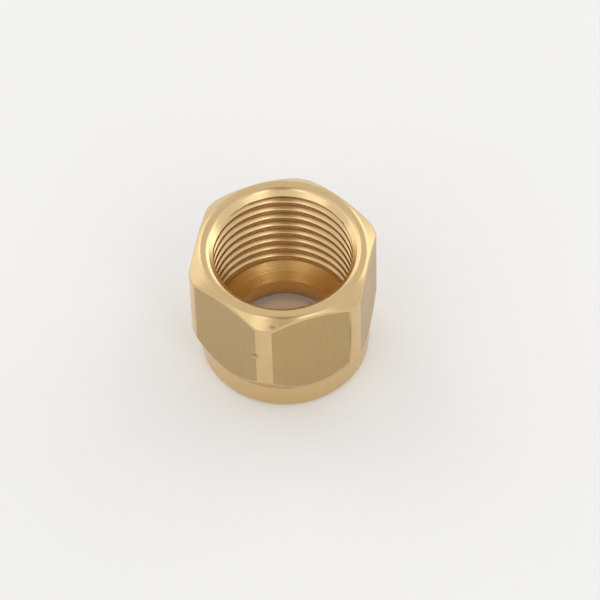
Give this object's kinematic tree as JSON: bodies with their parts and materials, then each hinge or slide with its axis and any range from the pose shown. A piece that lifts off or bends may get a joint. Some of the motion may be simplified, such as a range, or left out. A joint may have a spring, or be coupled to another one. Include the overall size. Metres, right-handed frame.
{
  "type": "swivel nut",
  "caption": "Brass hexagon swivel nut with a female parallel pipe thread, a coned mouth and a round collar whose inner lip holds the flange of a tail piece.",
  "frame": {"origin": "centre of the collar's foot face, on the thread axis", "axes": "+Z along the thread axis from the collar towards the mouth, +X square to one spanner flat"},
  "size_m": [0.024, 0.0266, 0.021],
  "materials": {
    "brass": "satin, turned"
  },
  "bodies": {
    "root": {"swivel_nut": "brass"}
  },
  "joints": []
}
